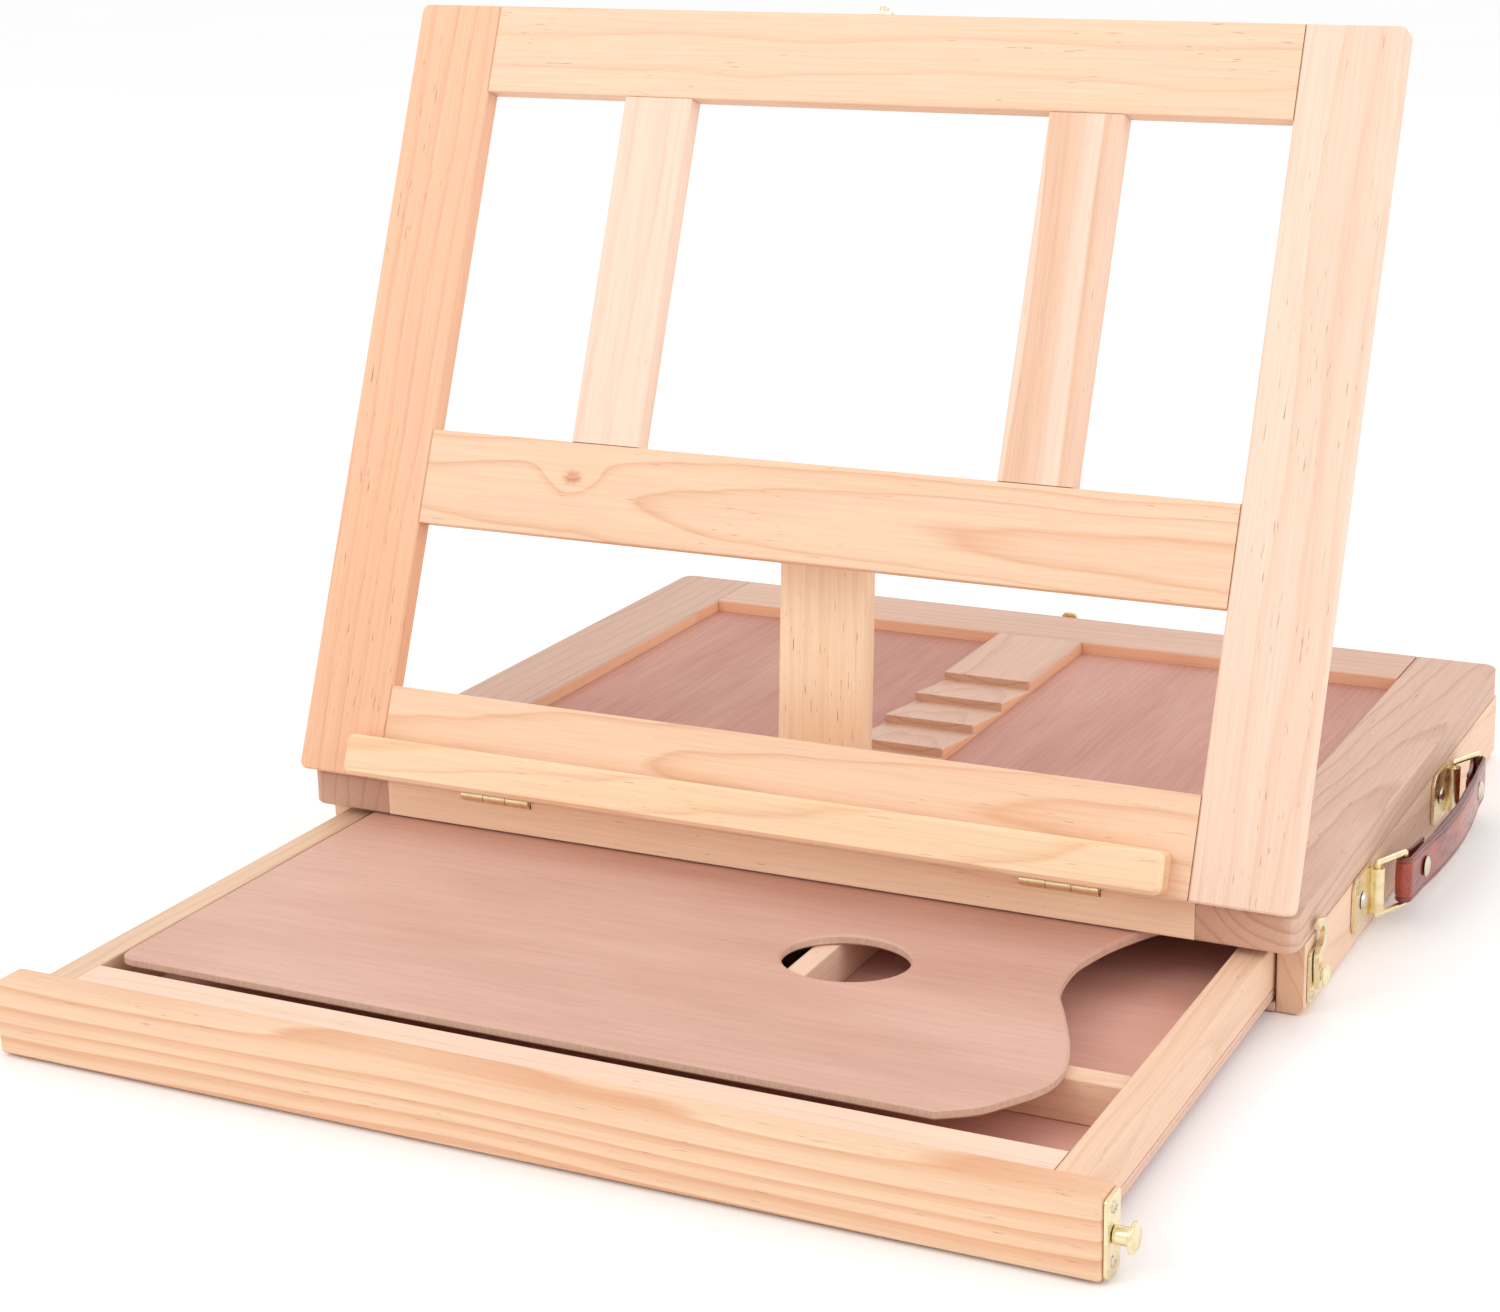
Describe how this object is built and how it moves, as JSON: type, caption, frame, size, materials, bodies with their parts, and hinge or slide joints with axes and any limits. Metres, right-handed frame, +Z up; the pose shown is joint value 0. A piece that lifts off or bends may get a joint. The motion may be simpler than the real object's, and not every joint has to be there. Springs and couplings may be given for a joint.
{
  "type": "tabletop sketch box easel",
  "caption": "Shallow wooden box easel: framed canvas panel on a notched strut, sliding drawer with loose palette, brass catches and a leather carrying strap.",
  "frame": {"origin": "centre of the case's underside, on the table", "axes": "+X to the painter's right, where the strap handle is; +Y away from the painter, along the drawer's slide; +Z up"},
  "size_m": [0.3551, 0.4281, 0.2826],
  "materials": {
    "case_wood": "sanded pine with a rosy tone, fine grain, thin clear coat",
    "pine": "pale sanded pine, fine straight grain with short dark flecks",
    "warm_pine": "yellower sanded pine with wavy grain bands",
    "plywood": "thin red-brown hardwood ply, matt",
    "palette_ply": "thin pinkish hardwood ply, lightly varnished, light edge plies",
    "brass": "pale polished brass plate",
    "steel": "pale plated steel, lightly polished",
    "leather": "glossy red-brown leather with a creased edge line"
  },
  "bodies": {
    "case": {"top_stile_left": "case_wood", "top_stile_right": "case_wood", "top_rail_front": "case_wood", "top_rail_back": "case_wood", "notched_rail": "case_wood", "top_panel_left": "plywood", "top_panel_right": "plywood", "side_board_left": "pine", "side_board_right": "pine", "back_board": "pine", "bottom_board": "plywood", "hinge_leaf_case_left": "brass", "hinge_leaf_case_right": "brass", "hinge_pin_left": "steel", "hinge_pin_right": "steel", "lid_hook_plate": "brass", "latch_plate": "brass", "latch_pivot": "brass", "handle_bracket_front": "brass", "handle_bracket_rear": "brass", "bracket_screw_front": "steel", "bracket_screw_rear": "steel"},
    "panel": {"panel_stile_left": "pine", "panel_stile_right": "pine", "panel_muntin_left": "pine", "panel_muntin_right": "pine", "panel_rail_bottom": "warm_pine", "panel_rail_middle": "pine", "panel_rail_top": "pine", "canvas_ledge": "warm_pine", "hinge_leaf_panel_left": "brass", "hinge_leaf_panel_right": "brass", "lid_stud": "brass", "strut_hinge_leaf_panel": "brass"},
    "strut": {"strut": "pine", "strut_hinge_leaf": "brass"},
    "drawer": {"drawer_front": "warm_pine", "drawer_inner_front": "pine", "drawer_side_left": "pine", "drawer_side_right": "pine", "drawer_back": "pine", "drawer_divider": "pine", "drawer_partition": "pine", "drawer_bottom": "plywood", "palette": "palette_ply", "keeper_plate": "brass", "keeper_knob": "brass"},
    "latch": {"latch_hook": "brass"},
    "lid_hook": {"lid_hook": "brass"},
    "ring_front": {"handle_ring_front": "brass"},
    "ring_rear": {"handle_ring_rear": "brass"},
    "strap": {"handle_strap": "leather", "handle_rivet_front": "steel", "handle_rivet_rear": "steel"}
  },
  "joints": [
    {"name": "panel_tilt", "type": "hinge", "parent": "case", "child": "panel", "pos_m": [0, -0.133, 0.035], "axis": [1, 0, 0], "range_deg": [-61.9, 0]},
    {"name": "strut_fold", "type": "hinge", "parent": "case", "child": "strut", "pos_m": [0, -0.0875, 0.0355], "axis": [1, 0, 0], "range_deg": [-85.5, 0]},
    {"name": "drawer_slide", "type": "slide", "parent": "case", "child": "drawer", "axis": [0, 1, 0], "range_m": [0, 0.1576]},
    {"name": "latch_swing", "type": "hinge", "parent": "case", "child": "latch", "pos_m": [0.172, -0.115, 0.0115], "axis": [1, 0, 0], "range_deg": [-25, 85]},
    {"name": "lid_hook_swing", "type": "hinge", "parent": "case", "child": "lid_hook", "pos_m": [0, 0.1352, 0.022], "axis": [0, 1, 0], "range_deg": [-90, 90]},
    {"name": "ring_front_swing", "type": "hinge", "parent": "case", "child": "ring_front", "pos_m": [0.1729, -0.052, 0.015], "axis": [0, 0, 1], "range_deg": [-130, 5]},
    {"name": "ring_rear_swing", "type": "hinge", "parent": "case", "child": "ring_rear", "pos_m": [0.1729, 0.051, 0.015], "axis": [0, 0, 1], "range_deg": [-132, 7]},
    {"name": "strap_turn", "type": "hinge", "parent": "ring_front", "child": "strap", "pos_m": [0.17861, -0.03977, 0.015], "axis": [0, 0, 1], "range_deg": [-7, 132]}
  ],
  "couplings": [
    {"joint": "strut_fold", "follows": "panel_tilt", "ratio": 1.376},
    {"joint": "ring_rear_swing", "follows": "ring_front_swing", "ratio": 1},
    {"joint": "strap_turn", "follows": "ring_front_swing", "ratio": -1}
  ]
}
